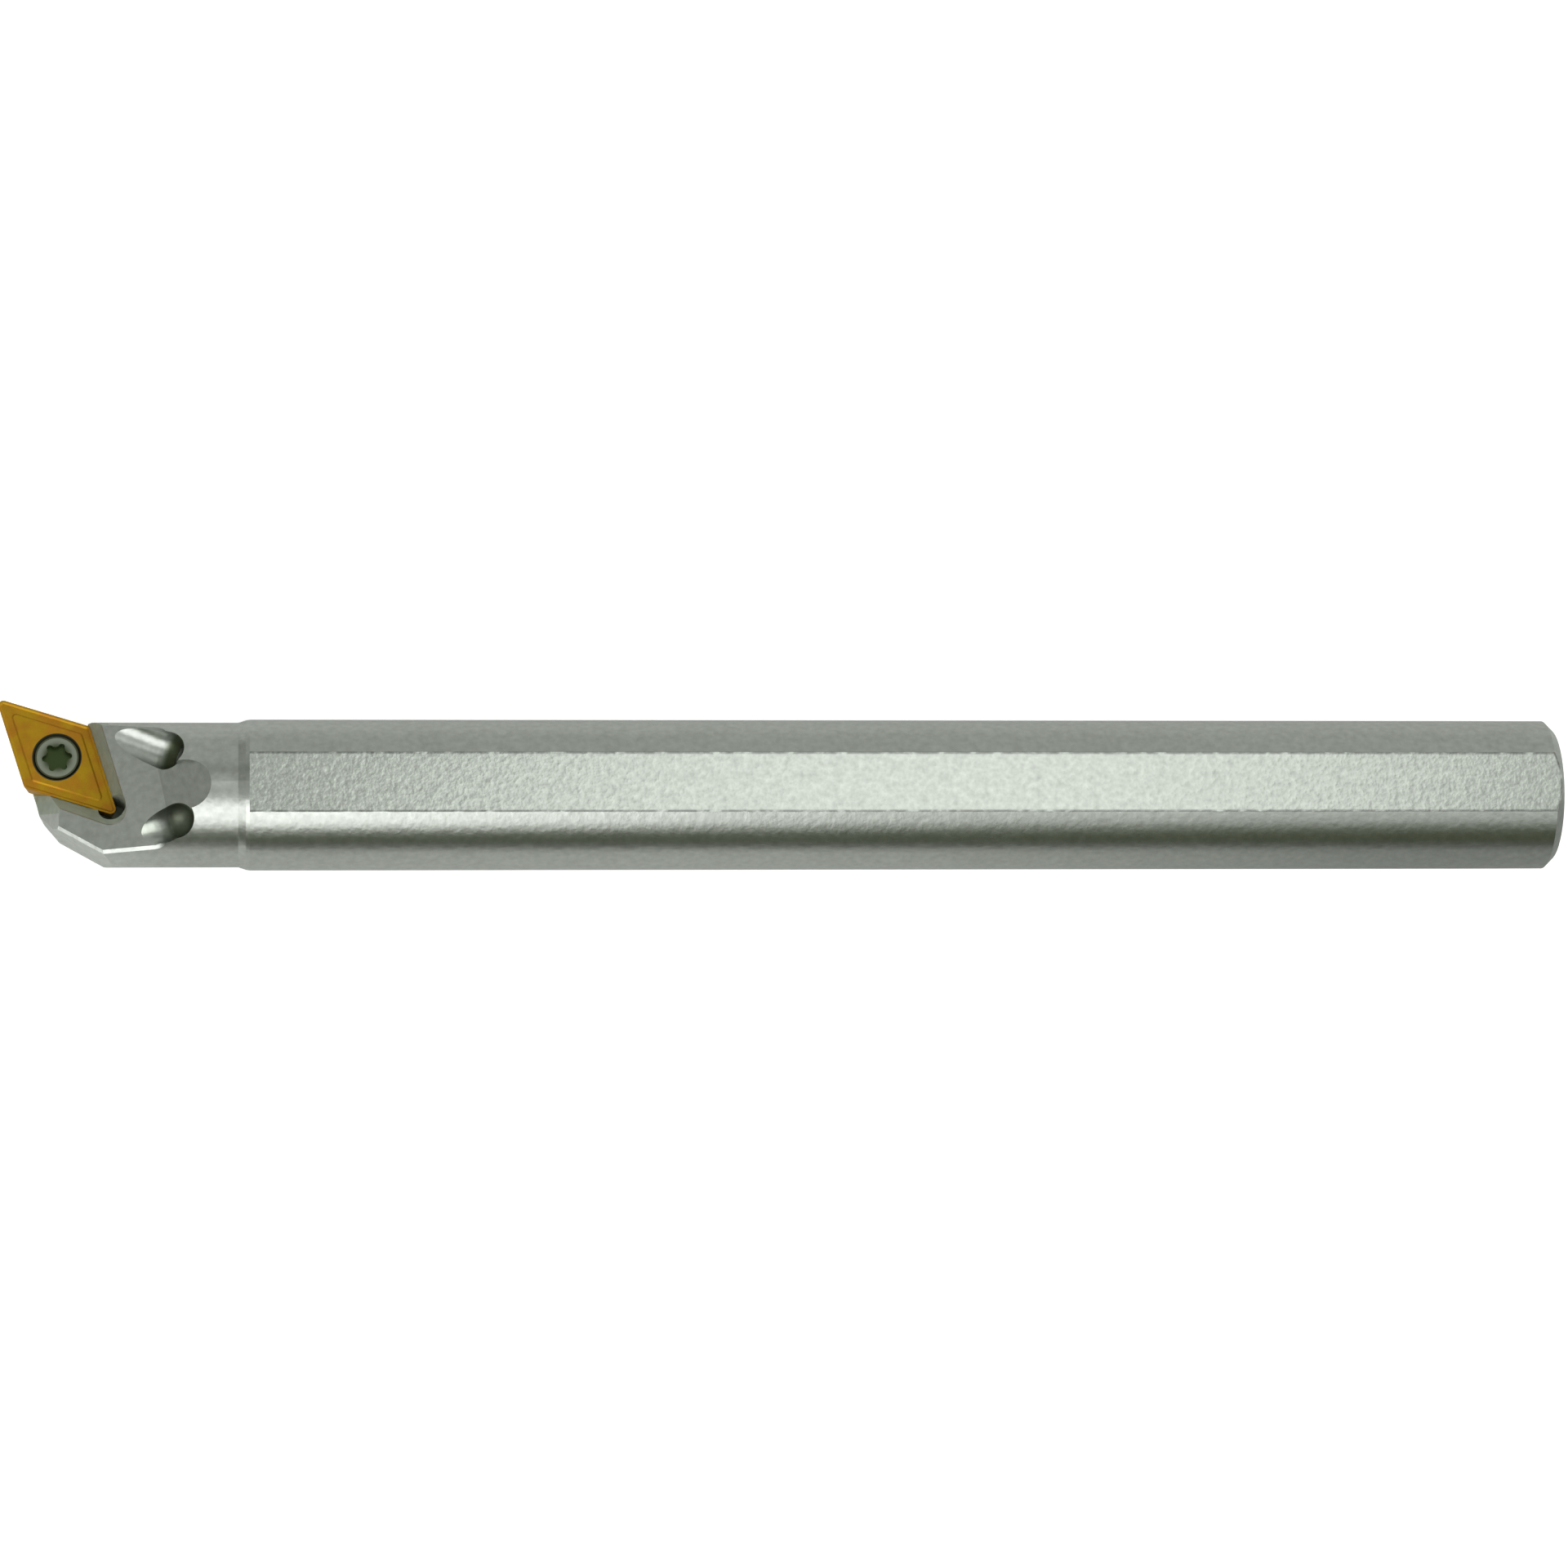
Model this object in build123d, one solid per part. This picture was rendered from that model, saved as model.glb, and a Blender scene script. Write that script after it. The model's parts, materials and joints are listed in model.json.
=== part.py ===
"""Indexable internal turning (boring) bar, left hand, 107.5 degree approach, in millimetres.

The bar lies along X with its head toward -X.  The origin is on the shank axis at the rear end face.
+Z is the side of the rake face and of the upper clamping flat.  +Y is the side of the cutting tip.
"""

from build123d import *
import os
from math import cos, radians, sin, sqrt, tan

os.makedirs("parts", exist_ok=True)

# ---------------------------------------------------------------- bar
overall_length = 125.0        # rear end face to the foremost point of the cutting nose
head_reach = 19.55            # cutting nose to the start of the full shank diameter
shank_diameter = 12.0
height_over_flats = 11.0      # two milled flats, top and bottom
lead_length = 0.3             # shallow taper from the shoulder up to the ground shank and its flats
lead_diameter = 11.9          # at the foot of that taper
neck_diameter = 11.5
shoulder_length = 0.6         # cone between neck and shank
rear_chamfer = 0.7

# ---------------------------------------------------------------- coolant way
channel_diameter = 4.0        # drilled along the shank axis from the rear
channel_chamfer = 0.25
channel_stop = 102.5          # depth of the full diameter, from the rear face
drill_point_angle = 118.0
nozzle_diameter = 1.8         # drilled from the head face down into the channel
nozzle_fall = 14.0            # degrees below the axis direction, going toward the shank
nozzle_turn = 19.0            # degrees in plan, aimed at the cutting nose
mouth_diameter = 3.0          # ball-ended groove that the nozzle opens into
mouth_from_nose = 13.2        # along X, cutting nose to the middle of the groove's ball end
mouth_side = 2.9              # the same, off the shank axis
mouth_rise = 3.5              # the same, above the shank axis
mouth_climb = 10.0            # degrees that the groove's floor climbs toward the nose

# ---------------------------------------------------------------- insert
insert_ic = 6.35              # inscribed circle
insert_angle = 55.0           # acute corner
insert_thickness = 2.38
insert_relief = 7.0
nose_radius = 0.4
insert_bore = 2.8
breaker_land = 0.14           # flat strip along the cutting edges
breaker_width = 0.85
breaker_depth = 0.09
breaker_lean = 55.0           # of the groove's walls, off the vertical

lead_angle = 17.5             # front edge off the square, so the approach is 107.5 degrees
tip_offset = 7.65             # shank axis to the outermost point of the nose
radial_tilt = 4.0             # rake face rises toward the axis

# ---------------------------------------------------------------- screw
screw_diameter = 2.5
screw_length = 5.0
screw_head_diameter = 3.45
screw_head_rim = 0.2
screw_head_sink = 0.1         # head top below the rake face
screw_cone_angle = 60.0       # included
screw_end_chamfer = 0.3
recess_across = 2.39          # six-lobe recess, lobe to lobe
recess_waist = 1.72
recess_lobe_radius = 0.24
recess_flute_radius = 0.42    # between the lobes
recess_depth = 0.75
recess_turn = 7.0

# ---------------------------------------------------------------- head
pocket_relief_radius = 1.1    # hole that clears the insert's inner corner
pocket_relief_inset = 0.22    # from the insert's inner nose back toward its middle
pocket_relief_depth = 0.25    # below the insert's floor
wall_top_drop = 0.15          # pocket walls stop this far under the rake face
side_flare = 18.0             # lean of the clearance above the rear wall
lower_flare = 35.0            # lean of the clearance above the inner wall
flare_corner_radius = 1.6     # where the two clearances meet
face_rise = 7.0               # slope of the chip face toward the shank
face_height = 2.68            # chip face above the axis, beside the inner corner's relief
face_length = 13.0            # cutting nose to the end of the chip face
face_end_slope = 60.0         # of the short rise at that end
face_end_blend = 1.2          # radius where the rise leaves the chip face
ramp_slope = 34.0
ramp_width = 3.9
ramp_turn = 10.0              # the run-out falls away from the cutting side
ramp_side = 0.2               # middle of the run-out's top, off the axis
front_setback = 0.3           # holder behind the insert's lower edges
front_relief = 8.0
bevel_length = 8.3            # cutting nose to the rear end of the long bevel
bevel_angle = 30.5            # in plan, off the axis direction
bevel_lean = 5.0
bevel_foot = -1.5             # height at which the bevel gives way to the relief under it
bevel_foot_angle = 26.0       # in plan, off the axis direction
bevel_foot_lean = 40.0
edge_break = 0.24             # along the chip face's outer edges, measured on the chip face
edge_break_drop = 0.13        # the same, down the side
corner_x = 3.3                # a point of the short corner facet, from the cutting nose
corner_y = -1.53
corner_angle = 52.7
lip_slope = 63.5              # facet that drops the wall's top at the front
lip_turn = 3.0
lip_side = -0.3               # a point of the facet, level with the insert's floor
underside_angle = 26.0        # tangent to the neck, up to the support under the cutting corner
bore_clearance_radius = 7.85  # smallest bore that the head turns in, less a margin
bore_clearance_shift = 0.35

# ---------------------------------------------------------------- chip scoop
scoop_diameter = 2.8          # ball-ended groove beside the run-out
scoop_from_nose = 14.1        # along X, cutting nose to the middle of its ball end
scoop_side = 2.79             # the same, off the shank axis
scoop_rise = 3.33             # the same, above the shank axis
scoop_turn = 19.0             # degrees in plan, away from the axis toward the nose
scoop_climb = 22.0            # degrees that its floor climbs toward the nose

# ---------------------------------------------------------------- derived places
nose_x = -overall_length
shoulder_x = nose_x + head_reach
neck_radius = neck_diameter / 2
shank_radius = shank_diameter / 2
half_acute = radians(insert_angle / 2)
diagonal_turn = lead_angle - 90 + insert_angle / 2
nose_arm = (insert_ic / 2 - nose_radius) / sin(half_acute)
nose_forward = nose_arm * cos(radians(diagonal_turn)) + nose_radius
nose_outward = nose_arm * -sin(radians(diagonal_turn)) + nose_radius
tilt = radians(radial_tilt)
span = 4 * shank_diameter     # size of the cutting bodies that reach right past the head
on_plane = 1e-4               # how near a corner lies to a plane that it is on
floor_inradius = insert_ic / 2 - insert_thickness * tan(radians(insert_relief))

rake = Plane(
    origin=(nose_x + nose_forward, tip_offset - nose_outward * cos(tilt), nose_outward * sin(tilt)),
    x_dir=(1, 0, 0),
    z_dir=(0, sin(tilt), cos(tilt)),
)
floor = rake.offset(-insert_thickness)


def rhombus(inradius, corner_radius=0.0):
    """Rhombic outline about the insert's middle, long diagonal from the cutting nose to the shank."""
    long_half = inradius / sin(half_acute)
    short_half = inradius / cos(half_acute)
    outline = Polygon((long_half, 0), (0, short_half), (-long_half, 0), (0, -short_half), align=None)
    if corner_radius > 0:
        outline = fillet(outline.vertices(), corner_radius)
    return Rot(0, 0, diagonal_turn) * outline


def trimmed(body, origin, normal):
    """What is left of a body behind a plane."""
    return split(body, bisect_by=Plane(origin=origin, z_dir=normal), keep=Keep.BOTTOM)


def rod(start, direction, radius, length):
    """Round bar from a point along a direction."""
    return Plane(origin=start, z_dir=direction) * Cylinder(
        radius, length, align=(Align.CENTER, Align.CENTER, Align.MIN)
    )


# ---------------------------------------------------------------- insert and screw
cone_half = radians(screw_cone_angle / 2)
head_radius = screw_head_diameter / 2
seat_z = -screw_head_sink - screw_head_rim         # where the head's rim meets its cone
seat_mouth_radius = head_radius - seat_z * tan(cone_half)


def cone_height(radius):
    """Height, under the rake face, at which the shared screw seat has a radius."""
    return (radius - seat_mouth_radius) / tan(cone_half)


def make_insert():
    outline = rhombus(insert_ic / 2, nose_radius)
    blank = extrude(outline, amount=insert_thickness, taper=insert_relief, dir=(0, 0, -1))
    groove_outer = rhombus(insert_ic / 2 - breaker_land, nose_radius - breaker_land)
    groove = extrude(groove_outer, amount=breaker_depth, taper=breaker_lean, dir=(0, 0, -1))
    island_outline = rhombus(insert_ic / 2 - breaker_width, nose_radius / 2)
    island = extrude(island_outline, amount=breaker_depth, taper=-breaker_lean, dir=(0, 0, -1))
    bore_radius = insert_bore / 2
    seat_profile = Polygon(
        (0, 0), (seat_mouth_radius, 0), (bore_radius, cone_height(bore_radius)),
        (bore_radius, -insert_thickness), (0, -insert_thickness), align=None,
    )
    opening = revolve(Plane.XZ * seat_profile, axis=Axis.Z)
    return rake * (blank - (groove - island) - opening)


def recess_outline():
    lobe_arm = recess_across / 2 - recess_lobe_radius
    flute_arm = recess_waist / 2 + recess_flute_radius
    outline = Circle(lobe_arm + recess_lobe_radius / 2)
    lobes = PolarLocations(lobe_arm, 6, start_angle=recess_turn)
    flutes = PolarLocations(flute_arm, 6, start_angle=recess_turn + 30)
    outline += [place * Circle(recess_lobe_radius) for place in lobes]
    outline -= [place * Circle(recess_flute_radius) for place in flutes]
    return outline


def make_screw():
    radius = screw_diameter / 2
    top = -screw_head_sink
    end = top - screw_length
    profile = Polygon(
        (0, top), (head_radius, top), (head_radius, seat_z), (radius, cone_height(radius)),
        (radius, end + screw_end_chamfer), (radius - screw_end_chamfer, end), (0, end), align=None,
    )
    blank = revolve(Plane.XZ * profile, axis=Axis.Z)
    recess = extrude(Pos(0, 0, top) * recess_outline(), amount=-recess_depth)
    return rake * (blank - recess)


# ---------------------------------------------------------------- bar body
def plan_direction(degrees):
    """Unit vector in plan, turned from +X toward +Y."""
    return Vector(cos(radians(degrees)), sin(radians(degrees)), 0)


front_normal = plan_direction(180 + lead_angle)     # of the insert's front edge
rear_normal = plan_direction(lead_angle)            # of its rear edge, against the pocket's rear wall
inner_normal = plan_direction(lead_angle + insert_angle + 180)


def leaning(direction, degrees):
    """A plan direction raised out of the plan by an angle."""
    return direction * cos(radians(degrees)) + Vector(0, 0, sin(radians(degrees)))


def placed(frame, point):
    """A frame's own point, in the bar's coordinates."""
    return frame.from_local_coords(point)


def turned(frame, direction):
    """A frame's own direction, in the bar's coordinates."""
    return frame.from_local_coords(direction) - frame.origin


def above(frame, size=span):
    """A block that fills the space over a plane."""
    return frame * Box(size, size, size, align=(Align.CENTER, Align.CENTER, Align.MIN))


def make_shank():
    """Turned neck, shoulder and shank with its two clamping flats."""
    profile = Polygon(
        (nose_x, 0), (nose_x, neck_radius), (shoulder_x - shoulder_length, neck_radius),
        (shoulder_x, lead_diameter / 2), (shoulder_x + lead_length, shank_radius),
        (-rear_chamfer, shank_radius), (0, shank_radius - rear_chamfer), (0, 0), align=None,
    )
    shank = revolve(Plane.XZ * profile, axis=Axis.X)
    flat_length = -(shoulder_x + lead_length)
    for side in (1, -1):
        shank -= Pos(0, 0, side * height_over_flats / 2) * Box(
            flat_length, span, span, align=(Align.MAX, Align.CENTER, Align.MIN if side > 0 else Align.MAX)
        )
    return shank


def make_support():
    """Swelling under the overhanging cutting corner, inside the smallest bore."""
    outline = rhombus(floor_inradius - front_setback, nose_radius)
    block = floor * extrude(outline, amount=neck_diameter, taper=front_relief, dir=(0, 0, -1))
    tangent = Vector(0, sin(radians(underside_angle)), -cos(radians(underside_angle)))
    block = trimmed(block, tangent * neck_radius, tangent)
    block = trimmed(block, Vector(0, 0, -neck_radius * cos(radians(underside_angle))), Vector(0, 0, -1))
    swing = Pos(nose_x, -bore_clearance_shift, 0) * Rot(0, 90, 0) * Cylinder(bore_clearance_radius, span)
    return block & swing


def trim_front(body):
    """Front face, short corner facet and long inner bevel."""
    edge_middle = placed(floor, front_normal * (floor_inradius - front_setback))
    body = trimmed(body, edge_middle, turned(floor, leaning(front_normal, -front_relief)))
    corner = Vector(nose_x + corner_x, corner_y, 0)
    body = trimmed(body, corner, plan_direction(-90 - corner_angle))
    bevel_x = nose_x + bevel_length
    bevel_z = face_z(bevel_x)
    bevel_point = Vector(bevel_x, -sqrt(neck_radius**2 - bevel_z**2), bevel_z)
    body = trimmed(body, bevel_point, leaning(plan_direction(-90 - bevel_angle), bevel_lean))
    drop = bevel_z - bevel_foot
    outset = drop * tan(radians(bevel_lean))
    foot = bevel_point + plan_direction(-90 - bevel_angle) * outset - Vector(0, 0, drop)
    return trimmed(body, foot, leaning(plan_direction(-90 - bevel_foot_angle), -bevel_foot_lean))


def on_chip_face(vertex):
    """Whether a corner of the body lies on the chip face."""
    return abs(face.to_local_coords(vertex.center()).Z) < on_plane


def outer_edges(body):
    """The chip face's edges on the side away from the cutting corner."""
    edges = [edge for edge in body.edges() if all(on_chip_face(vertex) for vertex in edge.vertices())]
    rear = face.origin.X - face_end_blend
    return [edge for edge in edges if edge.center().Y < corner_y and edge.center().X < rear]


relief_arm = nose_arm + nose_radius - pocket_relief_inset
relief_point = placed(rake, plan_direction(diagonal_turn) * relief_arm)


def face_z(x):
    """Height of the chip face."""
    return face_height + (x - relief_point.X) * tan(radians(face_rise))


face_end_x = nose_x + face_length
face = Plane(origin=(face_end_x, 0, face_z(face_end_x)), z_dir=leaning(plan_direction(180), 90 - face_rise))


def make_chip_space():
    """What the milling cutter clears above the chip face, with its run-out up to the neck."""
    foot = face.origin
    front = (foot.X - span, foot.Z - span * tan(radians(face_rise)))
    rise = (foot.X + span / tan(radians(face_end_slope)), foot.Z + span)
    side = Polygon(front, (foot.X, foot.Z), rise, (front[0], rise[1]), align=None)
    corner = side.vertices().sort_by_distance((foot.X, foot.Z, 0))[0]
    space = extrude(Plane.XZ * fillet(corner, face_end_blend), amount=span, both=True)
    downhill = leaning(plan_direction(180 + ramp_turn), -ramp_slope)
    ramp = Plane(
        origin=(foot.X + (neck_radius - foot.Z) / tan(radians(ramp_slope)), ramp_side, neck_radius),
        x_dir=downhill,
        z_dir=leaning(plan_direction(180 + ramp_turn), 90 - ramp_slope),
    )
    run = neck_diameter
    slot = Pos(run / 2, 0) * SlotOverall(run, ramp_width)
    return space + split(ramp * extrude(slot, amount=neck_diameter), bisect_by=face, keep=Keep.TOP)


def make_pocket():
    """Floor, two walls that lean with the insert's flanks, the flare above them and the corner's relief."""
    corner = plan_direction(diagonal_turn) * (floor_inradius / sin(half_acute))
    along_front = plan_direction(180 - lead_angle) * span
    along_side = plan_direction(90 + lead_angle) * span
    corners = (corner, corner + along_front, corner + along_front + along_side, corner + along_side)
    outline = Polygon(*[(point.X, point.Y) for point in corners], align=None)
    wall_height = insert_thickness - wall_top_drop
    pocket = floor * extrude(outline, amount=2 * insert_thickness, taper=-insert_relief, dir=(0, 0, 1))
    wall_inradius = floor_inradius + wall_height * tan(radians(insert_relief))
    flare_frame = floor.offset(wall_height)
    flare = above(flare_frame)
    rear = turned(flare_frame, leaning(rear_normal, -side_flare))
    inner = turned(flare_frame, leaning(inner_normal, -lower_flare))
    for plan_normal, normal in ((rear_normal, rear), (inner_normal, inner)):
        flare = trimmed(flare, placed(flare_frame, plan_normal * wall_inradius), normal)
    meeting = flare.edges().filter_by(Axis((0, 0, 0), rear.cross(inner)))
    flare = fillet(meeting, flare_corner_radius)
    relief_frame = floor.offset(-pocket_relief_depth)
    relief_start = placed(relief_frame, plan_direction(diagonal_turn) * relief_arm)
    relief = rod(relief_start, rake.z_dir, pocket_relief_radius, neck_diameter)
    return pocket, flare, relief


def make_lip_space():
    """Drops the inner wall at the front, so that the insert's blunt corner stands clear."""
    edge_middle = placed(floor, front_normal * (floor_inradius - front_setback))
    to_side = (lip_side - edge_middle.Y) / -cos(radians(lead_angle))
    lip_point = edge_middle + plan_direction(lead_angle - 90) * to_side
    lip_plane = Plane(origin=lip_point, z_dir=leaning(plan_direction(180 - lip_turn), 90 - lip_slope))
    return split(above(floor), bisect_by=lip_plane, keep=Keep.TOP)


def make_groove(middle, outward, radius):
    """Ball-ended groove that leads outward from the middle of its ball end, and is open above."""
    groove = Pos(*middle) * Sphere(radius)
    for direction in (outward, (0, 0, 1)):
        groove += rod(middle, direction, radius, neck_diameter)
    return groove


def make_scoop():
    """Short groove beside the run-out, whose floor climbs toward the nose."""
    middle = Vector(nose_x + scoop_from_nose, -scoop_side, scoop_rise)
    return make_groove(middle, leaning(plan_direction(180 + scoop_turn), scoop_climb), scoop_diameter / 2)


def make_coolant_way():
    """Axial channel from the rear and the nozzle that leads from it to the head face."""
    channel_radius = channel_diameter / 2
    point = channel_radius / tan(radians(drill_point_angle / 2))
    profile = Polygon(
        (0, 0), (0, channel_radius + channel_chamfer), (-channel_chamfer, channel_radius),
        (-channel_stop, channel_radius), (-channel_stop - point, 0), align=None,
    )
    channel = revolve(Plane.XZ * profile, axis=Axis.X)
    mouth = Vector(nose_x + mouth_from_nose, mouth_side, mouth_rise)
    inward = leaning(plan_direction(-nozzle_turn), -nozzle_fall)
    outward = leaning(plan_direction(180 - nozzle_turn), mouth_climb)
    groove = make_groove(mouth, outward, mouth_diameter / 2)
    reach = (mouth_rise - channel_radius / 2) / sin(radians(nozzle_fall))
    return channel + groove + rod(mouth, inward, nozzle_diameter / 2, reach)


def make_bar():
    """The one-piece steel bar."""
    bar = trim_front(make_shank() + make_support())
    bar -= make_chip_space()
    chip_face = bar.faces().filter_by(face).sort_by_distance(face.origin)[0]
    bar = chamfer(outer_edges(bar), edge_break, edge_break_drop, reference=chip_face)
    for cut in make_pocket():
        bar -= cut
    bar -= make_lip_space()
    bar -= make_scoop()
    bar -= make_coolant_way()
    return bar - rod(floor.origin, -rake.z_dir, screw_diameter / 2, neck_diameter)


pieces = {"bar_body": make_bar(), "insert": make_insert(), "insert_screw": make_screw()}
for name, piece in pieces.items():
    export_step(piece, f"parts/{name}.step")
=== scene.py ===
"""Looks for an indexable boring bar: steel bar, gold coated insert and screw, on a pale studio floor."""

import json
import logging
import math
from dataclasses import dataclass
from enum import Enum
from functools import partial, reduce

import bmesh
import bpy
from mathutils import Matrix, Vector

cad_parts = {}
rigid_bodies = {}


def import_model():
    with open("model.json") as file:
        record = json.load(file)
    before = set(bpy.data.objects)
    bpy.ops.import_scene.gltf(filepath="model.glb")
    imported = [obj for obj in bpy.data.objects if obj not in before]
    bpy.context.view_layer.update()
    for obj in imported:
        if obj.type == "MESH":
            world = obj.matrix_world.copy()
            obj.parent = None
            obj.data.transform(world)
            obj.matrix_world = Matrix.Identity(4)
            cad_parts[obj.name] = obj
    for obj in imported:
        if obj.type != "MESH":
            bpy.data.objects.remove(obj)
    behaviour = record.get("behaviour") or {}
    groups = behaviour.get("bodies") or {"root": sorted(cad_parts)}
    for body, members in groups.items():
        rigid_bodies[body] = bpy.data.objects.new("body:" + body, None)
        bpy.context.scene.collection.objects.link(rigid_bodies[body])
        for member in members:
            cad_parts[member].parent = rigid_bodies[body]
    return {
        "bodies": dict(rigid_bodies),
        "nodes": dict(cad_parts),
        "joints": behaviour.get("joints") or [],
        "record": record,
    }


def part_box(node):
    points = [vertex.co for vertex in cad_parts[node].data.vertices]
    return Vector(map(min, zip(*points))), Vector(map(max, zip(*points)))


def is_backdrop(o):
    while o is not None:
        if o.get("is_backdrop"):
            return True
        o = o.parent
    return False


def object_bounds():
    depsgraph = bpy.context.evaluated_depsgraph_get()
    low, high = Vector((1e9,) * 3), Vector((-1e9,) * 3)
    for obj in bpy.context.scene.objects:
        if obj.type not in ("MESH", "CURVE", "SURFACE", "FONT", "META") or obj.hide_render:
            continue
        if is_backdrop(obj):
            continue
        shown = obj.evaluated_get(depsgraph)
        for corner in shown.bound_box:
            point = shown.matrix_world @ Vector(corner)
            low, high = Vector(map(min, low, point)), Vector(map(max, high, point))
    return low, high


LOG = logging.getLogger("boring_bar")
MM = 0.001                      # metres; the finishes below are given in millimetres
RADIAL_TILT = 4.0               # degrees that the insert's pocket is turned about the bar
SCREW_SINK = 0.1                # millimetres from the rake face down to the screw's head
HALF_TURN = 180.0
UPWARD = (0.0, 0.0, 1.0)
WHITE = (1.0, 1.0, 1.0)
MIX_FIRST, MIX_SECOND, MIX_RESULT = 6, 7, 2     # the colour sockets of a Mix node

Color = tuple[float, float, float]
Point = tuple[float, float, float]
Rise = tuple[float, float]
Axes = dict[str, bpy.types.NodeSocket]


# ---------------------------------------------------------------- shader graphs
def grey(value: float) -> Color:
    """A grey, which a socket for plain numbers reads as its value."""
    return (value,) * 3


class Blend(Enum):
    """How one colour is laid over another."""

    MIX = "MIX"
    MULTIPLY = "MULTIPLY"


class Graph:
    """Adds nodes to one shader node tree, so that a finish reads as a formula."""

    def __init__(self, tree: bpy.types.NodeTree) -> None:
        """Keeps the tree.

        Args:
            tree: The node tree of a material, a world or a group.
        """
        self.tree = tree

    def node(self, kind: str, **settings: object) -> bpy.types.Node:
        """Adds a node.

        Args:
            kind: The node's type name, without its ShaderNode prefix.
            **settings: Properties to set on it.

        Returns:
            The new node.
        """
        made = self.tree.nodes.new("ShaderNode" + kind)
        for name, value in settings.items():
            setattr(made, name, value)
        return made

    def feed(self, socket: bpy.types.NodeSocket, value: object) -> None:
        """Links an output to a socket, or sets the socket's own value.

        Args:
            socket: The input to feed.
            value: Another node's output, a number, or a colour or vector.
        """
        if isinstance(value, bpy.types.NodeSocket):
            self.tree.links.new(value, socket)
        elif isinstance(value, tuple) and socket.type == "RGBA":
            socket.default_value = (*value, 1.0)
        else:
            socket.default_value = value

    def math(self, operation: str, first: object, second: object = 0.0) -> bpy.types.NodeSocket:
        """Adds a Math node.

        Args:
            operation: The node's operation.
            first: The first operand, an output or a number.
            second: The second operand.

        Returns:
            The node's output.
        """
        made = self.node("Math", operation=operation)
        self.feed(made.inputs[0], first)
        self.feed(made.inputs[1], second)
        return made.outputs[0]

    def product(self, *factors: object) -> object:
        """The product of several outputs or numbers."""
        return reduce(partial(self.math, "MULTIPLY"), factors)

    def largest(self, *masks: object) -> object:
        """The largest of several masks."""
        return reduce(partial(self.math, "MAXIMUM"), masks)

    def vector(self, operation: str, first: object, second: object) -> bpy.types.Node:
        """Adds a Vector Math node.

        Args:
            operation: The node's operation.
            first: The first operand, an output or a vector.
            second: The second operand.

        Returns:
            The node.
        """
        made = self.node("VectorMath", operation=operation)
        self.feed(made.inputs[0], first)
        self.feed(made.inputs[1], second)
        return made

    def step(self, value: object, low: float, high: float) -> bpy.types.NodeSocket:
        """Smooth rise from 0 at one value to 1 at another, which may be the lower one.

        Args:
            value: The output that is read.
            low: Where the result is 0.
            high: Where the result is 1.

        Returns:
            The mask.
        """
        made = self.node("MapRange", interpolation_type="SMOOTHSTEP")
        self.feed(made.inputs["Value"], value)
        falls = high < low
        made.inputs["From Min"].default_value = min(low, high)
        made.inputs["From Max"].default_value = max(low, high)
        made.inputs["To Min"].default_value = 1.0 if falls else 0.0
        made.inputs["To Max"].default_value = 0.0 if falls else 1.0
        return made.outputs["Result"]

    def mix(self, factor: object, first: object, second: object,
            blend: Blend = Blend.MIX) -> bpy.types.NodeSocket:
        """Mixes two colours.

        Args:
            factor: The share of the second colour.
            first: The colour underneath.
            second: The colour laid over it.
            blend: How it is laid over.

        Returns:
            The mixed colour.
        """
        made = self.node("Mix", data_type="RGBA", blend_type=blend.value)
        self.feed(made.inputs["Factor"], factor)
        self.feed(made.inputs[MIX_FIRST], first)
        self.feed(made.inputs[MIX_SECOND], second)
        return made.outputs[MIX_RESULT]

    def noise(self, vector: object, scale: object, detail: float) -> bpy.types.NodeSocket:
        """Adds a Noise Texture.

        Args:
            vector: Where it is read, in millimetres.
            scale: Cells per millimetre.
            detail: Octaves.

        Returns:
            The noise, about 0.5 in the middle.
        """
        made = self.node("TexNoise")
        self.feed(made.inputs["Vector"], vector)
        self.feed(made.inputs["Scale"], scale)
        made.inputs["Detail"].default_value = detail
        return made.outputs["Fac"]

    def place(self) -> bpy.types.NodeSocket:
        """Adds the object's own coordinates.

        Returns:
            The place on the object, in millimetres.
        """
        mapping = self.node("Mapping")
        self.feed(mapping.inputs["Scale"], (1 / MM,) * 3)
        self.feed(mapping.inputs["Vector"], self.node("TexCoord").outputs["Object"])
        return mapping.outputs["Vector"]

    def axes(self, vector: object) -> Axes:
        """Splits a vector into its outputs X, Y and Z."""
        made = self.node("SeparateXYZ")
        self.feed(made.inputs[0], vector)
        return {name: made.outputs[name] for name in "XYZ"}

    def bump(self, height: object, distance: float) -> bpy.types.NodeSocket:
        """Adds a Bump node.

        Args:
            height: The height that it reads.
            distance: What a height of 1 stands for, in millimetres.

        Returns:
            The bumped normal.
        """
        made = self.node("Bump")
        made.inputs["Distance"].default_value = distance * MM
        self.feed(made.inputs["Height"], height)
        return made.outputs["Normal"]


def new_metal(name: str) -> tuple[bpy.types.Material, Graph, bpy.types.Node]:
    """Makes a material with its own shader.

    Args:
        name: The material's name.

    Returns:
        The material, its graph and its Principled BSDF.
    """
    material = bpy.data.materials.new(name)
    material.use_nodes = True
    return material, Graph(material.node_tree), material.node_tree.nodes["Principled BSDF"]


def group_tree(name: str, inputs: dict[str, str], outputs: dict[str, str]) -> bpy.types.NodeTree:
    """Makes an empty shader node group with its sockets.

    Args:
        name: The group's name.
        inputs: Each input's name, with its kind.
        outputs: Each output's name, with its kind.

    Returns:
        The group's node tree.
    """
    tree = bpy.data.node_groups.new(name, "ShaderNodeTree")
    for side, sockets in (("INPUT", inputs), ("OUTPUT", outputs)):
        for label, kind in sockets.items():
            tree.interface.new_socket(name=label, in_out=side, socket_type="NodeSocket" + kind)
    return tree


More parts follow.
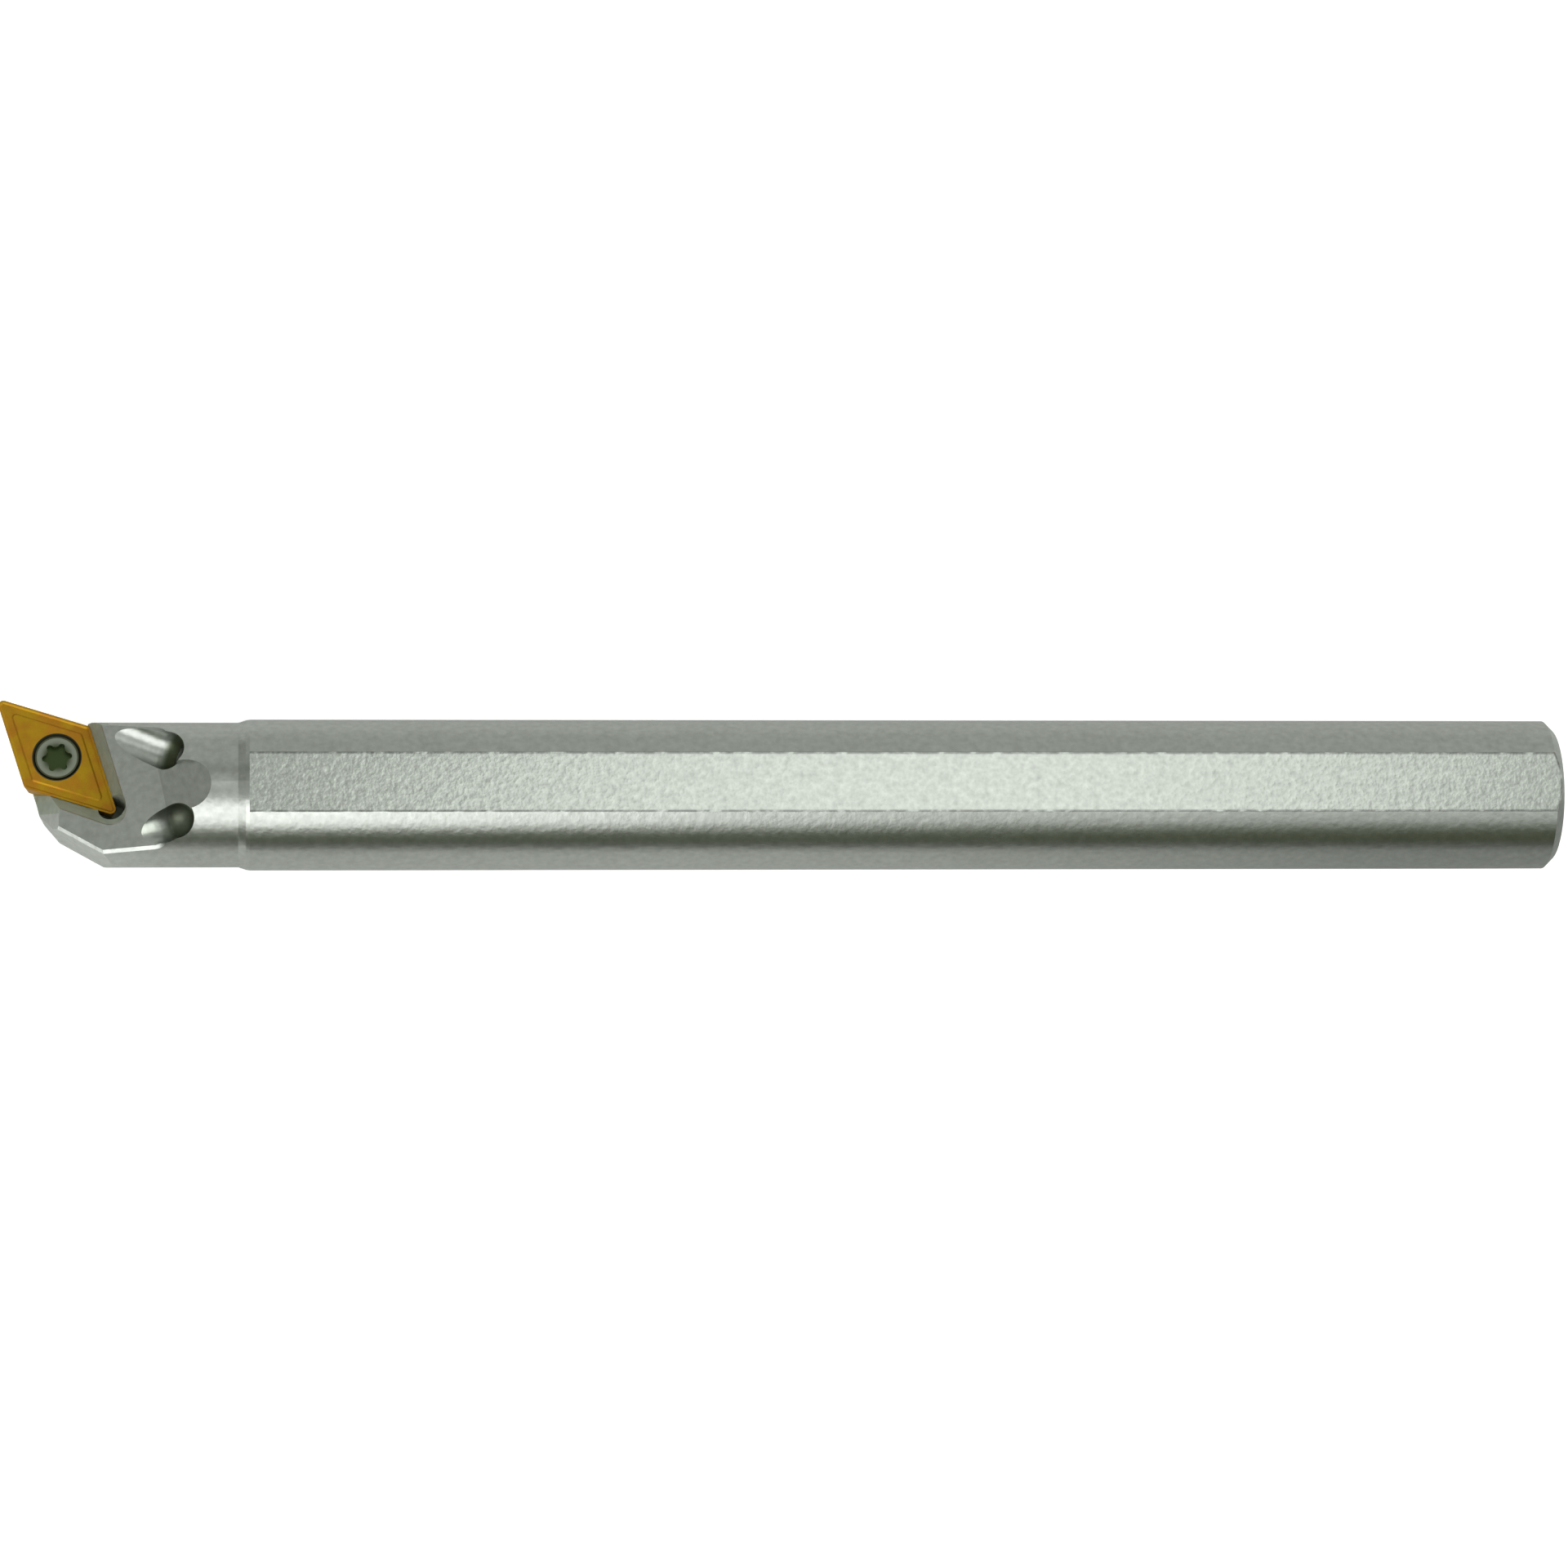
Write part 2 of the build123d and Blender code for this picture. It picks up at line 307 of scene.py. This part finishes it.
def make_grain_group() -> bpy.types.NodeTree:
    """Builds the grain that every metal face here has: soft blotches, fine pits and a height.

    Returns:
        The group's tree, with inputs for the place, sizes and weights, and outputs Tone and Height.
    """
    layers = (("Blotch Size", "Blotches", 3.0), ("Pit Size", "Pits", 2.0))
    numbers = {label: "Float" for size, weight, _ in layers for label in (size, weight)}
    tree = group_tree(
        "metal_grain",
        {"Vector": "Vector", **numbers, "Tone Share": "Float"},
        {"Tone": "Float", "Height": "Float"},
    )
    graph = Graph(tree)
    source = tree.nodes.new("NodeGroupInput")
    sink = tree.nodes.new("NodeGroupOutput")
    heights = []
    for size, weight, detail in layers:
        scale = graph.math("DIVIDE", 1.0, source.outputs[size])
        noise = graph.noise(source.outputs["Vector"], scale, detail)
        heights.append(graph.product(graph.math("SUBTRACT", noise, 0.5), source.outputs[weight]))
    height = graph.math("ADD", *heights)
    graph.feed(sink.inputs["Height"], height)
    shade = graph.product(height, source.outputs["Tone Share"])
    graph.feed(sink.inputs["Tone"], graph.math("ADD", shade, 1.0))
    return tree


# ---------------------------------------------------------------- finishes
@dataclass(frozen=True)
class GrainSettings:
    """How coarse one surface's grain is, in millimetres, and the weights of its height and tone."""

    blotch_size: float
    pit_size: float
    blotches: float
    pits: float
    tone_share: float = 1.0

    def add(self, graph: Graph, tree: bpy.types.NodeTree, vector: object) -> bpy.types.Node:
        """Places the grain group in a material.

        Args:
            graph: The material's graph.
            tree: The shared grain group.
            vector: Where the grain is read, in millimetres.

        Returns:
            The group's node.
        """
        made = graph.node("Group")
        made.node_tree = tree
        graph.feed(made.inputs["Vector"], vector)
        graph.feed(made.inputs["Blotch Size"], self.blotch_size)
        graph.feed(made.inputs["Pit Size"], self.pit_size)
        graph.feed(made.inputs["Blotches"], self.blotches)
        graph.feed(made.inputs["Pits"], self.pits)
        graph.feed(made.inputs["Tone Share"], self.tone_share)
        return made


@dataclass(frozen=True)
class ShadedGrooveEnd:
    """Rear end of a ball-ended groove in the head, which leads outward and is open above, where shade is
    painted dark.
    """

    middle: Point
    radius: float
    turn: float
    climb: float
    dark_reach: float
    strength: float
    fade: float = 0.9
    margin: float = 0.02

    def mask(self, graph: Graph, vector: object) -> object:
        """Mask of the end's wall, where the painted shade goes.

        Args:
            graph: The material's graph.
            vector: Object coordinates in millimetres.

        Returns:
            The mask.
        """
        turn, climb = math.radians(self.turn), math.radians(self.climb)
        level = math.cos(climb)
        outward = (math.cos(turn) * level, math.sin(turn) * level, math.sin(climb))
        offset = graph.vector("SUBTRACT", vector, self.middle).outputs["Vector"]
        reached = graph.vector("DOT_PRODUCT", offset, outward).outputs["Value"]
        raised = graph.vector("DOT_PRODUCT", offset, UPWARD).outputs["Value"]
        distances = []
        for way, along in ((outward, reached), (UPWARD, raised)):
            foot = graph.node("VectorMath", operation="SCALE")
            graph.feed(foot.inputs[0], way)
            graph.feed(foot.inputs["Scale"], graph.math("MAXIMUM", along, 0.0))
            aside = graph.vector("DISTANCE", offset, foot.outputs["Vector"])
            distances.append(aside.outputs["Value"])
        nearest = graph.math("MINIMUM", *distances)
        inside = graph.step(nearest, self.radius + 2.0 * self.margin, self.radius + self.margin)
        behind = graph.step(reached, self.dark_reach, self.dark_reach - self.fade)
        return graph.product(inside, behind, self.strength)


@dataclass(frozen=True)
class BarSteelFinish:
    """Nickel grey steel: ground shank, grained milled flats, satin head, matte pocket, painted shade at the
    groove ends and along the flats' edges.
    """

    steel: Color = (0.46, 0.48, 0.45)
    flat_tone: Color = (0.48, 0.51, 0.47)
    pocket_tone: Color = (0.36, 0.40, 0.33)
    # painted shade: the dark tone of the grooves' rear ends
    groove_shade_tone: Color = (0.08, 0.095, 0.055)
    # painted shade along the flats' edges, as a share of the steel's colour
    edge_shade: float = 0.50
    shank_roughness: float = 0.30
    flat_roughness: float = 0.19
    head_roughness: float = 0.33
    pocket_roughness: float = 0.55
    groove_roughness: float = 0.50
    pocket_metallic: float = 0.35
    shank_radius: float = 6.0
    flat_height: float = 5.5
    flat_start: float = -105.15
    flat_margin: float = 0.01
    rear_chamfer: float = 0.7
    edge_width: float = 0.22
    edge_core: float = 0.3
    # noise that breaks the painted edge shade into dashes
    edge_dash_scale: float = 0.9
    edge_dash_detail: float = 3.0
    edge_dash_range: Rise = (0.30, 0.55)
    head_end: float = -106.0
    head_blend: float = 0.1
    lead_angle: float = 17.5
    insert_angle: float = 55.0
    pocket_reach: float = 4.6
    pocket_margin: float = 0.05
    pocket_drop: Rise = (-0.02, -0.20)
    face_point: Point = (-115.93, 0.0, 2.68)
    face_rise: float = 7.0
    bump_distance: float = 0.035
    shank_grain: GrainSettings = GrainSettings(
        blotch_size=6.0, pit_size=0.55, blotches=0.10, pits=0.50, tone_share=0.90)
    flat_grain: GrainSettings = GrainSettings(
        blotch_size=0.9, pit_size=0.42, blotches=0.22, pits=0.36, tone_share=1.50)
    # where painted shade darkens the rear ends of the head's grooves
    shaded_groove_ends: tuple[ShadedGrooveEnd, ...] = (
        ShadedGrooveEnd(middle=(-110.9, -2.79, 3.33), radius=1.4, turn=199.0, climb=22.0,
                  dark_reach=0.55, strength=0.85),
        ShadedGrooveEnd(middle=(-111.8, 2.9, 3.5), radius=1.5, turn=161.0, climb=10.0,
                  dark_reach=0.30, strength=1.0),
    )

    def flats(self, graph: Graph, vector: object, axis: Axes) -> tuple[object, object]:
        """Masks of the two clamping flats and of a line of painted shade along their edges, broken into
        dashes by noise.

        Args:
            graph: The material's graph.
            vector: Object coordinates in millimetres.
            axis: The same, split.

        Returns:
            The flats' mask and the painted edge shade's mask.
        """
        near, far = self.flat_margin, 2.0 * self.flat_margin
        height = graph.math("ABSOLUTE", axis["Z"])
        on_flat = graph.product(
            graph.step(height, self.flat_height + far, self.flat_height + near),
            graph.step(height, self.flat_height - far, self.flat_height - near),
            graph.step(axis["X"], self.flat_start - near, self.flat_start),
        )
        half_width = math.sqrt(self.shank_radius ** 2 - self.flat_height ** 2)
        to_side = graph.math("SUBTRACT", half_width, graph.math("ABSOLUTE", axis["Y"]))
        squares = [graph.math("POWER", axis[name], 2.0) for name in "YZ"]
        from_axis = graph.math("SQRT", graph.math("ADD", *squares))
        cone = graph.math("SUBTRACT", self.shank_radius - self.rear_chamfer, axis["X"])
        to_end = graph.math("SUBTRACT", cone, from_axis)
        nearest = graph.math("MINIMUM", to_side, to_end)
        line = graph.step(nearest, self.edge_width, self.edge_width * self.edge_core)
        dashed = graph.step(graph.noise(vector, self.edge_dash_scale, self.edge_dash_detail), *self.edge_dash_range)
        return on_flat, graph.product(line, dashed, on_flat)

    def pocket(self, graph: Graph, vector: object, axis: Axes, middle: Point) -> object:
        """Mask of the pocket round the insert: beside its two inner edges and under the chip face.

        Args:
            graph: The material's graph.
            vector: Object coordinates in millimetres.
            axis: The same, split.
            middle: The insert's middle, in millimetres.

        Returns:
            The mask.
        """
        near = []
        for turn in (self.lead_angle, self.lead_angle + self.insert_angle + HALF_TURN):
            outward = (math.cos(math.radians(turn)), math.sin(math.radians(turn)), 0.0)
            along = graph.vector("DOT_PRODUCT", vector, outward).outputs["Value"]
            limit = Vector(outward).dot(Vector(middle)) + self.pocket_reach
            near.append(graph.step(along, limit, limit - self.pocket_margin))
        from_point = graph.math("SUBTRACT", axis["X"], self.face_point[0])
        rise = graph.product(from_point, math.tan(math.radians(self.face_rise)))
        over = graph.math("SUBTRACT", axis["Z"], graph.math("ADD", rise, self.face_point[2]))
        return graph.product(*near, graph.step(over, *self.pocket_drop))

    def build(self, grain: bpy.types.NodeTree, middle: Point) -> bpy.types.Material:
        """Makes the material.

        Args:
            grain: The shared grain group.
            middle: The insert's middle, in millimetres.

        Returns:
            The bar's material.
        """
        material, graph, shader = new_metal("bar_steel_satin")
        vector = graph.place()
        axis = graph.axes(vector)
        on_flat, line = self.flats(graph, vector, axis)
        in_pocket = self.pocket(graph, vector, axis, middle)
        in_groove_shade = graph.largest(*(end.mask(graph, vector) for end in self.shaded_groove_ends))
        on_head = graph.step(axis["X"], self.head_end + self.head_blend, self.head_end - self.head_blend)
        plain = self.shank_grain.add(graph, grain, vector)
        coarse = self.flat_grain.add(graph, grain, vector)

        base = graph.mix(in_pocket, graph.mix(on_flat, self.steel, self.flat_tone), self.pocket_tone)
        # painted shade along the flats' edges
        base = graph.mix(line, base, tuple(self.edge_shade * share for share in self.steel))
        # painted shade at the grooves' rear ends
        base = graph.mix(in_groove_shade, base, self.groove_shade_tone)
        tone = graph.mix(on_flat, plain.outputs["Tone"], coarse.outputs["Tone"])
        graph.feed(shader.inputs["Base Color"], graph.mix(1.0, base, tone, Blend.MULTIPLY))

        rough = graph.mix(on_head, grey(self.shank_roughness), grey(self.head_roughness))
        rough = graph.mix(on_flat, rough, grey(self.flat_roughness))
        rough = graph.mix(in_groove_shade, rough, grey(self.groove_roughness))
        graph.feed(shader.inputs["Roughness"], graph.mix(in_pocket, rough, grey(self.pocket_roughness)))
        graph.feed(shader.inputs["Metallic"], graph.mix(in_pocket, WHITE, grey(self.pocket_metallic)))

        height = graph.mix(on_flat, plain.outputs["Height"], coarse.outputs["Height"])
        graph.feed(shader.inputs["Normal"], graph.bump(height, self.bump_distance))
        return material


@dataclass(frozen=True)
class GoldCoatingFinish:
    """Gold coating in warm and cool patches on the carbide insert, with painted shade in the screw's
    countersink.
    """

    gold: Color = (0.47, 0.275, 0.009)
    amber: Color = (0.46, 0.205, 0.012)
    patch_scale: float = 0.7
    patch_detail: float = 3.0
    patch_range: Rise = (0.35, 0.65)
    # painted shade in the screw's countersink
    sink_shade_tone: Color = (0.05, 0.05, 0.03)
    sink_radius: float = 1.93
    sink_margin: float = 0.05
    roughness: float = 0.48
    metallic: float = 0.75
    bump_distance: float = 0.01
    grain: GrainSettings = GrainSettings(blotch_size=0.8, pit_size=0.12, blotches=0.25, pits=0.2)

    def build(self, grain: bpy.types.NodeTree, middle: Point) -> bpy.types.Material:
        """Makes the material.

        Args:
            grain: The shared grain group.
            middle: The insert's middle, on its rake face, in millimetres.

        Returns:
            The insert's material.
        """
        material, graph, shader = new_metal("gold_coated_carbide")
        vector = graph.place()
        away = graph.vector("DISTANCE", vector, middle).outputs["Value"]
        in_sink_shade = graph.step(away, self.sink_radius + self.sink_margin, self.sink_radius)
        patches = graph.step(graph.noise(vector, self.patch_scale, self.patch_detail), *self.patch_range)
        coat = graph.mix(patches, self.gold, self.amber)
        made = self.grain.add(graph, grain, vector)
        coat = graph.mix(1.0, coat, made.outputs["Tone"], Blend.MULTIPLY)
        # painted shade in the countersink round the screw
        graph.feed(shader.inputs["Base Color"], graph.mix(in_sink_shade, coat, self.sink_shade_tone))
        shader.inputs["Metallic"].default_value = self.metallic
        shader.inputs["Roughness"].default_value = self.roughness
        graph.feed(shader.inputs["Normal"], graph.bump(made.outputs["Height"], self.bump_distance))
        return material


@dataclass(frozen=True)
class ScrewSteelFinish:
    """Satin steel screw with painted shade on its head: in the drive recess, round its middle and at its rim.
    """

    steel: Color = (0.33, 0.36, 0.29)
    # painted shade: in the drive recess, at the head's rim and round its middle
    recess_shade_tone: Color = (0.07, 0.10, 0.04)
    recess_depths: Rise = (-0.03, -0.35)
    rim_shade_tone: Color = (0.10, 0.11, 0.06)
    rim_radii: Rise = (1.56, 1.62)
    centre_shade_tone: Color = (0.09, 0.11, 0.06)
    centre_shade_radii: Rise = (1.45, 0.85)
    roughness: float = 0.34
    grain: GrainSettings = GrainSettings(blotch_size=0.6, pit_size=0.1, blotches=0.2, pits=0.15)

    def build(self, grain: bpy.types.NodeTree, middle: Point) -> bpy.types.Material:
        """Makes the material.

        Args:
            grain: The shared grain group.
            middle: The insert's middle, on its rake face, in millimetres.

        Returns:
            The screw's material.
        """
        material, graph, shader = new_metal("screw_steel_satin")
        vector = graph.place()
        tilt = math.radians(RADIAL_TILT)
        up = (0.0, math.sin(tilt), math.cos(tilt))
        top = tuple(Vector(middle) - SCREW_SINK * Vector(up))
        offset = graph.vector("SUBTRACT", vector, top).outputs["Vector"]
        depth = graph.vector("DOT_PRODUCT", offset, up).outputs["Value"]
        away = graph.vector("DISTANCE", vector, top).outputs["Value"]
        # painted shade at the head's rim and round its middle, then in the drive recess
        coat = graph.mix(graph.step(away, *self.rim_radii), self.steel, self.rim_shade_tone)
        coat = graph.mix(graph.step(away, *self.centre_shade_radii), coat, self.centre_shade_tone)
        made = self.grain.add(graph, grain, vector)
        coat = graph.mix(1.0, coat, made.outputs["Tone"], Blend.MULTIPLY)
        coat = graph.mix(graph.step(depth, *self.recess_depths), coat, self.recess_shade_tone)
        graph.feed(shader.inputs["Base Color"], coat)
        shader.inputs["Metallic"].default_value = 1.0
        shader.inputs["Roughness"].default_value = self.roughness
        return material


# ---------------------------------------------------------------- the object's pieces
@dataclass
class CarriedNode:
    """A piece whose shape comes whole from the frame and which gets its finish here."""

    node: str
    finish: BarSteelFinish | GoldCoatingFinish | ScrewSteelFinish

    def dress(self, frame: dict, grain: bpy.types.NodeTree, middle: Point) -> None:
        """Gives the node its material.

        Args:
            grain: The shared grain group.
            middle: The insert's middle, on its rake face, in millimetres.
        """
        piece = frame["nodes"][self.node]
        material = self.finish.build(grain, middle)
        piece.data.materials.clear()
        piece.data.materials.append(material)
        LOG.info("%s: %d faces, %s", self.node, len(piece.data.polygons), material.name)


# ---------------------------------------------------------------- studio
@dataclass(frozen=True)
class SoftBox:
    """One soft lamp: where it stands, what it points at, its size and how bright its face looks."""

    name: str
    place: Point
    target: Point
    width: float
    height: float
    brightness: float

    def build(self) -> None:
        """Makes the lamp."""
        data = bpy.data.lights.new(self.name, "AREA")
        data.shape = "RECTANGLE"
        data.size = self.width
        data.size_y = self.height
        data.energy = self.brightness * math.pi * self.width * self.height
        lamp = bpy.data.objects.new(self.name, data)
        bpy.context.scene.collection.objects.link(lamp)
        lamp.location = self.place
        aim = Vector(self.target) - Vector(self.place)
        lamp.rotation_euler = aim.to_track_quat("-Z", "Y").to_euler()


@dataclass(frozen=True)
class RoomPart:
    """A part of the room: the directions that it fills, as limits (axis, where 0, where 1), and its share."""

    limits: tuple[tuple[str, float, float], ...]
    share: float = 1.0

    def mask(self, graph: Graph, axis: Axes) -> object:
        """Mask of the part.

        Args:
            graph: The world's graph.
            axis: The direction looked in, split.

        Returns:
            The mask.
        """
        masks = [graph.step(axis[name], low, high) for name, low, high in self.limits]
        return graph.product(*masks, self.share)


@dataclass
class Studio:
    """Camera, lamps, pale floor and the room that the metal reflects."""

    station: float = -0.105
    aim: Point = (-0.0625, 0.0009, 0.0)
    distance: float = 0.43
    elevation: float = 79.0
    frame_width: float = 0.1258
    sensor_width: float = 36.0
    clip: Rise = (0.01, 20.0)
    floor_size: float = 4.0
    floor_white: float = 0.82
    floor_glossy: float = 0.72
    floor_glossy_left: float = 0.95
    floor_left: Rise = (-110.0, -120.0)
    floor_front: Rise = (4.0, -4.0)
    floor_end: Rise = (-42.0, -58.0)
    floor_fade: Rise = (-70.0, 10.0)
    floor_fade_share: float = 0.5
    floor_beyond: float = 0.12
    floor_glow: float = 0.62
    room: Color = (0.56, 0.58, 0.55)
    room_left: float = 0.75
    room_right: Color = (2.5, 2.6, 2.45)
    room_dark: Color = (0.05, 0.065, 0.02)
    left: RoomPart = RoomPart((("X", 0.05, -0.30),))
    right: RoomPart = RoomPart(
        (("X", 0.50, 0.64), ("Y", 0.56, 0.40), ("Y", -0.66, -0.42), ("Z", 0.36, 0.50)))
    dark_parts: tuple[RoomPart, ...] = (
        RoomPart((("Y", -0.10, -0.50), ("Z", 0.68, 0.36))),
        RoomPart((("X", -0.35, -0.65), ("Z", 0.30, 0.15))),
        RoomPart((("Y", 0.34, 0.44), ("Y", 0.62, 0.50), ("Z", 0.5, 0.7)), share=0.8),
    )
    lamps: tuple[SoftBox, ...] = (
        SoftBox("front_wide", place=(-0.13, -0.31, 0.46), target=(-0.13, 0.0, 0.0),
                width=0.84, height=0.25, brightness=0.36),
        SoftBox("front_left", place=(-0.31, -0.343, 0.373), target=(-0.31, 0.0, 0.0),
                width=0.53, height=0.38, brightness=1.85),
        SoftBox("top_box", place=(0.053, 0.15, 0.80), target=(-0.03, 0.0, 0.0),
                width=0.21, height=0.30, brightness=1.00),
    )

    def camera(self) -> None:
        """Puts the camera over the head's rear, looking at the bar's middle, and holds the bar level."""
        tilt = math.radians(self.elevation)
        place = Vector((self.station, -self.distance * math.cos(tilt), self.distance * math.sin(tilt)))
        back = place - Vector(self.aim)
        reach = back.length
        back.normalize()
        along = Vector((1.0, 0.0, 0.0))
        right = (along - back * along.dot(back)).normalized()
        upward = back.cross(right)
        data = bpy.data.cameras.new("camera")
        data.sensor_width = self.sensor_width
        data.lens = self.sensor_width * reach / self.frame_width
        data.clip_start, data.clip_end = self.clip
        view = bpy.data.objects.new("camera", data)
        bpy.context.scene.collection.objects.link(view)
        view.matrix_world = Matrix.Translation(place) @ Matrix((right, upward, back)).transposed().to_4x4()
        bpy.context.scene.camera = view

    def floor_paint(self) -> bpy.types.Material:
        """White to the camera; the metal sees it brighter at the left, and its end in front of the bar.

        Returns:
            The floor's material.
        """
        material, graph, shader = new_metal("studio_floor_white")
        material.node_tree.nodes.remove(shader)
        rays = graph.node("LightPath")
        axis = graph.axes(graph.place())
        in_front = graph.step(axis["Y"], *self.floor_front)
        at_left = graph.product(in_front, graph.step(axis["X"], *self.floor_left))
        fading = graph.product(graph.step(axis["X"], *self.floor_fade), in_front, self.floor_fade_share)
        gone = graph.math("MAXIMUM", graph.step(axis["Y"], *self.floor_end), fading)
        seen = graph.mix(at_left, grey(self.floor_glossy), grey(self.floor_glossy_left))
        seen = graph.mix(gone, seen, grey(self.floor_beyond))
        paint = graph.node("BsdfDiffuse")
        color = graph.mix(rays.outputs["Is Glossy Ray"], grey(self.floor_white), seen)
        graph.feed(paint.inputs["Color"], color)
        glow = graph.node("Emission")
        graph.feed(glow.inputs["Color"], WHITE)
        graph.feed(glow.inputs["Strength"], graph.product(rays.outputs["Is Camera Ray"], self.floor_glow))
        both = graph.node("AddShader")
        graph.feed(both.inputs[0], paint.outputs["BSDF"])
        graph.feed(both.inputs[1], glow.outputs["Emission"])
        graph.feed(material.node_tree.nodes["Material Output"].inputs["Surface"], both.outputs["Shader"])
        return material

    def floor(self, ground: float) -> None:
        """Lays the floor.

        Args:
            ground: The height of the object's lowest point.
        """
        mesh = bpy.data.meshes.new("studio_floor")
        shape = bmesh.new()
        bmesh.ops.create_grid(shape, x_segments=1, y_segments=1, size=self.floor_size / 2)
        bmesh.ops.translate(shape, verts=shape.verts, vec=(0.0, 0.0, ground))
        shape.to_mesh(mesh)
        shape.free()
        mesh.materials.append(self.floor_paint())
        piece = bpy.data.objects.new("studio_floor", mesh)
        bpy.context.scene.collection.objects.link(piece)
        piece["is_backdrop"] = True

    def surroundings(self) -> None:
        """White to the camera, and to the metal a grey room that is bright at the right and dark low down."""
        world = bpy.data.worlds.new("studio_room")
        bpy.context.scene.world = world
        world.use_nodes = True
        graph = Graph(world.node_tree)
        background = world.node_tree.nodes["Background"]
        rays = graph.node("LightPath")
        axis = graph.axes(graph.node("TexCoord").outputs["Generated"])
        dimmed = tuple(self.room_left * share for share in self.room)
        room = graph.mix(self.left.mask(graph, axis), self.room, dimmed)
        dark = graph.largest(*(part.mask(graph, axis) for part in self.dark_parts))
        room = graph.mix(dark, room, self.room_dark)
        room = graph.mix(self.right.mask(graph, axis), room, self.room_right)
        graph.feed(background.inputs["Color"], graph.mix(rays.outputs["Is Camera Ray"], room, WHITE))
        background.inputs["Strength"].default_value = 1.0

    def build(self, ground: float) -> None:
        """Sets the whole studio up.

        Args:
            ground: The height of the object's lowest point.
        """
        bpy.context.scene.view_settings.view_transform = "Standard"
        self.camera()
        self.floor(ground)
        self.surroundings()
        for lamp in self.lamps:
            lamp.build()
        LOG.info("studio: %d lamps", len(self.lamps))


def insert_middle() -> Point:
    """Finds the insert's middle, which lies over the middle of its screw's head.

    Returns:
        The point on the insert's rake face, in millimetres.
    """
    tilt = math.radians(RADIAL_TILT)
    low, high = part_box("insert_screw")
    across = (high[0] - low[0]) / 2
    sink = SCREW_SINK * MM
    return (
        (low[0] + across) / MM,
        (high[1] - across * math.cos(tilt) + sink * math.sin(tilt)) / MM,
        (high[2] - across * math.sin(tilt) + sink * math.cos(tilt)) / MM,
    )


def plain_box() -> list[list[float]]:
    """The whole object's box as plain lists."""
    return [list(corner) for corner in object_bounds()]


def main() -> None:
    """Builds the pieces in order."""
    logging.basicConfig(level=logging.INFO, format="%(message)s")
    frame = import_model()
    cad_box = plain_box()
    grain = make_grain_group()
    middle = insert_middle()
    for piece in (
        CarriedNode("bar_body", BarSteelFinish()),
        CarriedNode("insert", GoldCoatingFinish()),
        CarriedNode("insert_screw", ScrewSteelFinish()),
    ):
        piece.dress(frame, grain, middle)
    Studio().build(cad_box[0][2])


if __name__ == "__main__":
    main()
